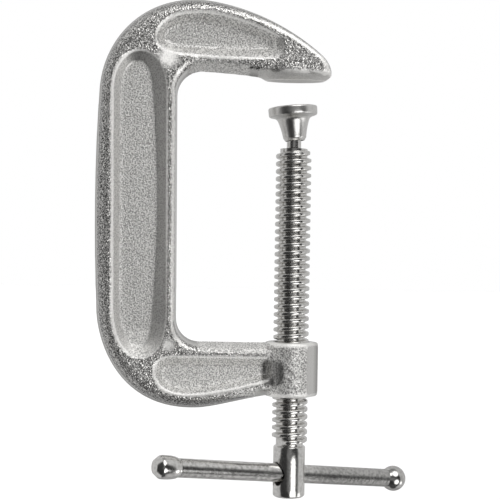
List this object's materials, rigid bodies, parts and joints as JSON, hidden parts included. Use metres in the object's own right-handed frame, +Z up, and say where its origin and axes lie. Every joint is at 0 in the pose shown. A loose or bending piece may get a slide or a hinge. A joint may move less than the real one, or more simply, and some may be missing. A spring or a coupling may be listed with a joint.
{
  "type": "c clamp",
  "caption": "C clamp with a pocketed C-shaped frame, a threaded spindle through its boss, a swivel pad on the spindle's ball end and a sliding T handle.",
  "frame": {"origin": "centre of the anvil's flat, where the screw's axis meets it", "axes": "+Z up along the screw, from the handle towards the anvil; +X from the spine towards the nose; +Y through the frame's thickness"},
  "size_m": [0.1437, 0.067, 0.2225],
  "materials": {
    "frame_plating": "bright zinc plate over a shot-blasted skin, smooth on the trimmed edges",
    "spindle_plating": "bright zinc plate over rolled thread and drawn shank",
    "pad_plating": "bright zinc plate over turned steel",
    "handle_plating": "bright zinc plate over drawn bar"
  },
  "bodies": {
    "frame": {"frame": "frame_plating"},
    "pad": {"swivel_pad": "pad_plating"},
    "spindle": {"spindle": "spindle_plating"},
    "handle": {"handle_bar": "handle_plating", "handle_barrel_end": "handle_plating", "handle_ball_end": "handle_plating"}
  },
  "joints": [
    {"name": "screw_travel", "type": "slide", "parent": "frame", "child": "pad", "axis": [0, 0, 1], "range_m": [-0.0865, 0.0103]},
    {"name": "screw_turn", "type": "hinge", "parent": "pad", "child": "spindle", "pos_m": [0, 0, -0.0219], "axis": [0, 0, 1], "range_deg": [-9295, 1106]},
    {"name": "bar_slide", "type": "slide", "parent": "spindle", "child": "handle", "axis": [0.8742, 0.4727, -0.1115], "range_m": [-0.045, 0.047]}
  ],
  "couplings": [
    {"joint": "screw_travel", "follows": "screw_turn", "m_per_rad": 0.00053317}
  ]
}
